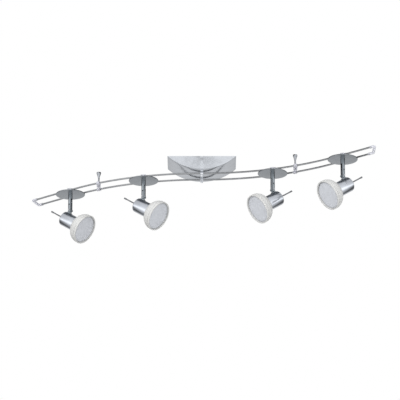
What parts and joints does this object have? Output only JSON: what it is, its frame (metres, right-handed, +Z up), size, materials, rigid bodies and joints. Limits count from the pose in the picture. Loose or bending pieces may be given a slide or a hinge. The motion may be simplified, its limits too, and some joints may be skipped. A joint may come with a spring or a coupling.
{
  "type": "track lighting fixture",
  "caption": "Low-voltage ceiling light: an S-curved two-rod rail under a vaulted chrome canopy, carrying aimable spot heads with frosted bowl shades on stems.",
  "frame": {"origin": "middle of the canopy at the ceiling's face, between the ceiling bracket's two slots", "axes": "+Z up into the ceiling, +X along the rail to the right, +Y away from the viewer; the rail bends towards -Y at its right end"},
  "size_m": [0.8585, 0.4413, 0.174],
  "materials": {
    "canopy_chrome": "polished sheet",
    "zinc_plate": "zinc plated",
    "screw_steel": "bright",
    "supply_case": "moulded",
    "terminal_plastic": "moulded",
    "terminal_brass": "plain",
    "lead_sleeve": "extruded",
    "feed_brass": "turned",
    "bush_plastic": "moulded",
    "clamp_chrome": "polished",
    "rod_steel": "drawn and nickel plated",
    "clear_plastic": "clear, moulded",
    "standoff_steel": "turned, satin nickel",
    "disc_satin": "satin chrome",
    "saddle_plastic": "clear, moulded",
    "stem_chrome": "polished",
    "knurled_steel": "knurled",
    "barrel_satin": "satin chrome",
    "lampholder_ceramic": "glazed",
    "capsule_glass": "clear",
    "frosted_shade": "frosted",
    "frosted_lens": "frosted",
    "aim_dark": "dark chrome"
  },
  "bodies": {
    "base": {"ceiling_bracket": "zinc_plate", "canopy": "canopy_chrome", "canopy_screws": "screw_steel", "transformer": "supply_case", "terminal_block": "terminal_plastic", "terminal_screws": "terminal_brass", "canopy_leads": "lead_sleeve", "feed_posts": "feed_brass", "feed_bushes": "bush_plastic", "feed_clamps": "clamp_chrome", "feed_knobs": "clamp_chrome", "front_rod": "rod_steel", "rear_rod": "rod_steel", "left_end_cap": "clear_plastic", "right_end_cap": "clear_plastic", "left_standoff": "standoff_steel", "right_standoff": "standoff_steel", "standoff_clips": "clear_plastic", "carrier_disc_1": "disc_satin", "carrier_disc_2": "disc_satin", "carrier_disc_3": "disc_satin", "carrier_disc_4": "disc_satin", "rod_saddles": "saddle_plastic", "saddle_screws": "screw_steel"},
    "swivel_1": {"stem_1": "stem_chrome", "swivel_fasteners_1": "knurled_steel"},
    "head_1": {"tilt_tongue_1": "stem_chrome", "barrel_1": "barrel_satin", "lampholder_1": "lampholder_ceramic", "bulb_1": "capsule_glass", "shade_1": "frosted_shade", "lens_1": "frosted_lens", "aim_rod_1": "aim_dark"},
    "swivel_2": {"stem_2": "stem_chrome", "swivel_fasteners_2": "knurled_steel"},
    "head_2": {"tilt_tongue_2": "stem_chrome", "barrel_2": "barrel_satin", "lampholder_2": "lampholder_ceramic", "bulb_2": "capsule_glass", "shade_2": "frosted_shade", "lens_2": "frosted_lens", "aim_rod_2": "aim_dark"},
    "swivel_3": {"stem_3": "stem_chrome", "swivel_fasteners_3": "knurled_steel"},
    "head_3": {"tilt_tongue_3": "stem_chrome", "barrel_3": "barrel_satin", "lampholder_3": "lampholder_ceramic", "bulb_3": "capsule_glass", "shade_3": "frosted_shade", "lens_3": "frosted_lens", "aim_rod_3": "aim_dark"},
    "swivel_4": {"stem_4": "stem_chrome", "swivel_fasteners_4": "knurled_steel"},
    "head_4": {"tilt_tongue_4": "stem_chrome", "barrel_4": "barrel_satin", "lampholder_4": "lampholder_ceramic", "bulb_4": "capsule_glass", "shade_4": "frosted_shade", "lens_4": "frosted_lens", "aim_rod_4": "aim_dark"}
  },
  "joints": [
    {"name": "pan_1", "type": "hinge", "parent": "base", "child": "swivel_1", "pos_m": [-0.33346, 0.12354, -0.08275], "axis": [0, 0, 1], "range_deg": [-175, 175]},
    {"name": "tilt_1", "type": "hinge", "parent": "swivel_1", "child": "head_1", "pos_m": [-0.33346, 0.12354, -0.08275], "axis": [0.454, 0.891, 0], "range_deg": [-33, 39]},
    {"name": "pan_2", "type": "hinge", "parent": "base", "child": "swivel_2", "pos_m": [-0.14591, 0.02145, -0.08275], "axis": [0, 0, 1], "range_deg": [-175, 175]},
    {"name": "tilt_2", "type": "hinge", "parent": "swivel_2", "child": "head_2", "pos_m": [-0.14591, 0.02145, -0.08275], "axis": [0.454, 0.891, 0], "range_deg": [-33, 39]},
    {"name": "pan_3", "type": "hinge", "parent": "base", "child": "swivel_3", "pos_m": [0.17624, -0.03162, -0.08275], "axis": [0, 0, 1], "range_deg": [-175, 175]},
    {"name": "tilt_3", "type": "hinge", "parent": "swivel_3", "child": "head_3", "pos_m": [0.17624, -0.03162, -0.08275], "axis": [0.454, -0.891, 0], "range_deg": [-33, 39]},
    {"name": "pan_4", "type": "hinge", "parent": "base", "child": "swivel_4", "pos_m": [0.346, -0.13349, -0.08275], "axis": [0, 0, 1], "range_deg": [-175, 175]},
    {"name": "tilt_4", "type": "hinge", "parent": "swivel_4", "child": "head_4", "pos_m": [0.346, -0.13349, -0.08275], "axis": [0.454, -0.891, 0], "range_deg": [-33, 39]}
  ]
}
